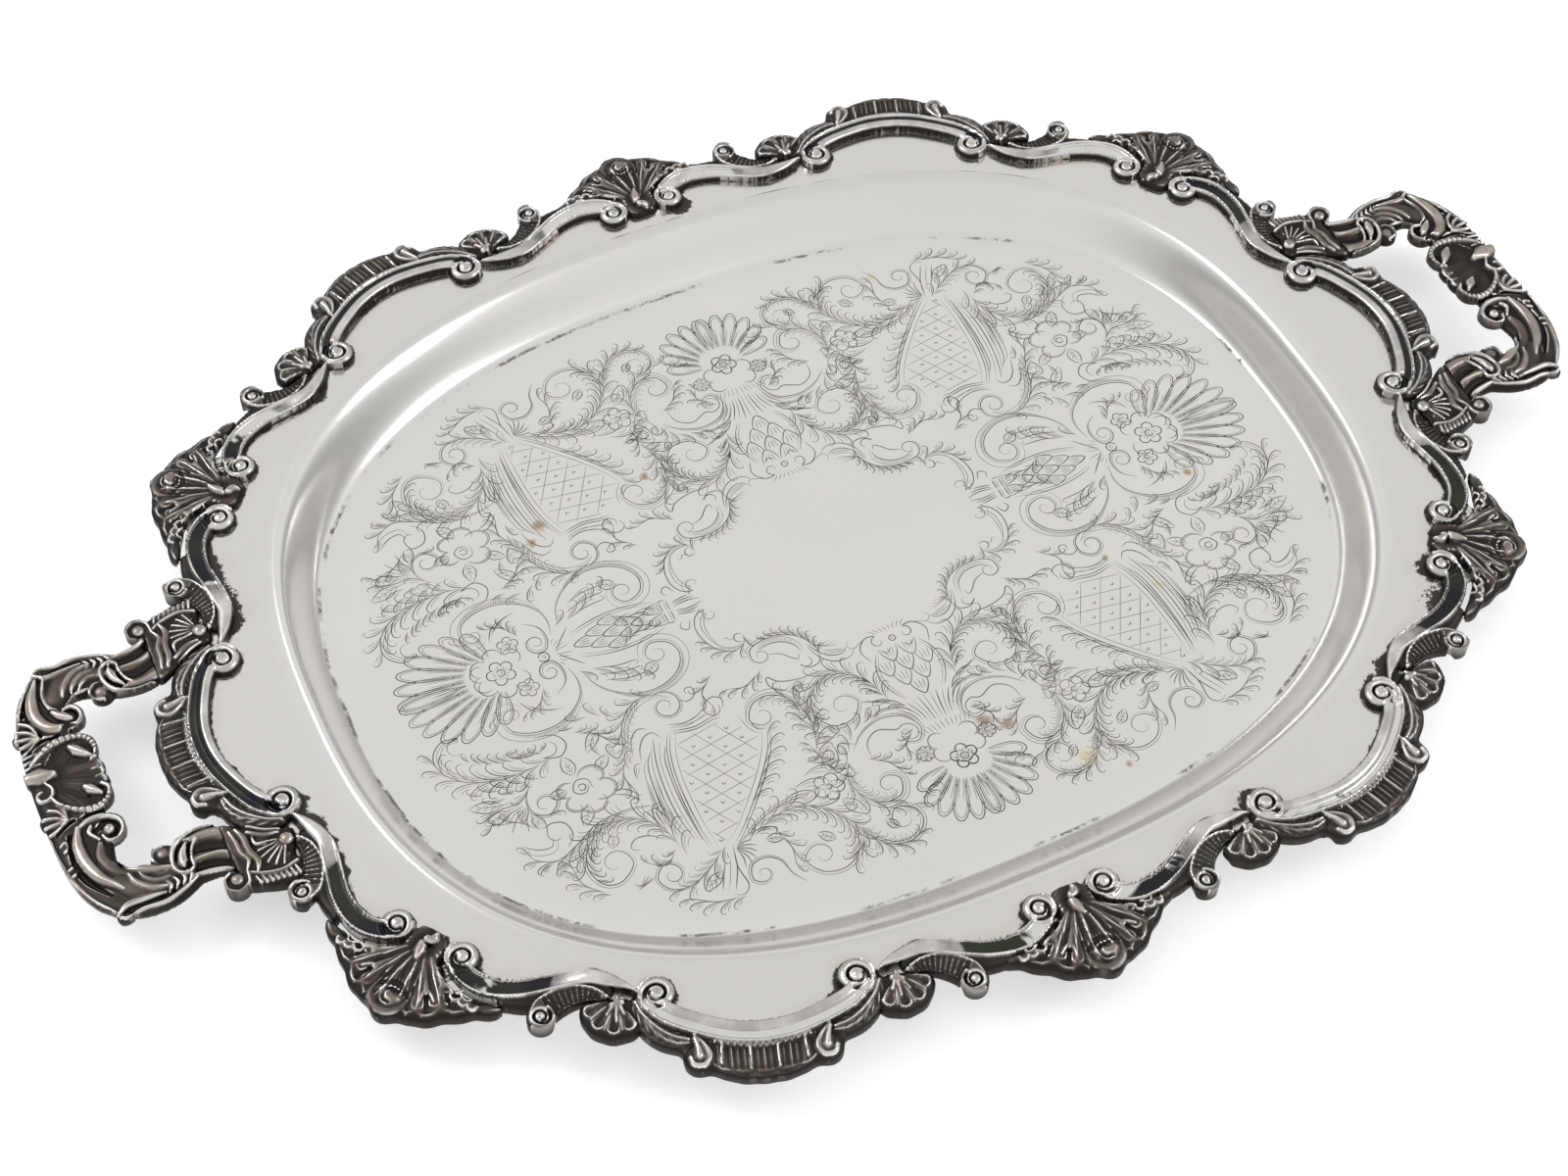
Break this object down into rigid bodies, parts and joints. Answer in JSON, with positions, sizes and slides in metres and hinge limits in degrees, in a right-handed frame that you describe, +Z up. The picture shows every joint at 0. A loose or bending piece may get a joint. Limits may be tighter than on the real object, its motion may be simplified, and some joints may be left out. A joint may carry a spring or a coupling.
{
  "type": "dresser vanity tray",
  "caption": "Oval silver-plated footless vanity tray with a sunk engraved floor, cast scroll and shell border and two loop handles.",
  "frame": {"origin": "centre of the flat underside that the tray rests on", "axes": "+X through the two handles, +Y across the tray, +Z up"},
  "size_m": [0.704, 0.49, 0.0299],
  "materials": {
    "satin_silver": "satin silver plate, lightly scratched and spotted",
    "tarnished_silver": "polished silver plate with patches of dark tarnish",
    "oxidised_silver": "oxidised silver in the recesses, worn bright on the edges",
    "handle_silver": "oxidised cast silver plate, worn bright on the edges"
  },
  "bodies": {
    "root": {"tray_body": "satin_silver", "c_scroll_end_left": "tarnished_silver", "handle_left": "handle_silver", "c_scroll_end_right": "tarnished_silver", "handle_right": "handle_silver", "c_scroll_front_left": "tarnished_silver", "shell_corner_front_left": "oxidised_silver", "s_scroll_end_front_left": "tarnished_silver", "s_scroll_side_front_left": "tarnished_silver", "s_scroll_mid_front_left": "tarnished_silver", "fan_outer_front_left": "oxidised_silver", "fan_inner_front_left": "oxidised_silver", "handle_root_front_left": "handle_silver", "c_scroll_front_right": "tarnished_silver", "shell_corner_front_right": "oxidised_silver", "s_scroll_end_front_right": "tarnished_silver", "s_scroll_side_front_right": "tarnished_silver", "s_scroll_mid_front_right": "tarnished_silver", "fan_outer_front_right": "oxidised_silver", "fan_inner_front_right": "oxidised_silver", "handle_root_front_right": "handle_silver", "c_scroll_back_left": "tarnished_silver", "shell_corner_back_left": "oxidised_silver", "s_scroll_end_back_left": "tarnished_silver", "s_scroll_side_back_left": "tarnished_silver", "s_scroll_mid_back_left": "tarnished_silver", "fan_outer_back_left": "oxidised_silver", "fan_inner_back_left": "oxidised_silver", "handle_root_back_left": "handle_silver", "c_scroll_back_right": "tarnished_silver", "shell_corner_back_right": "oxidised_silver", "s_scroll_end_back_right": "tarnished_silver", "s_scroll_side_back_right": "tarnished_silver", "s_scroll_mid_back_right": "tarnished_silver", "fan_outer_back_right": "oxidised_silver", "fan_inner_back_right": "oxidised_silver", "handle_root_back_right": "handle_silver", "shell_mid_front": "oxidised_silver", "shell_mid_back": "oxidised_silver"}
  },
  "joints": []
}
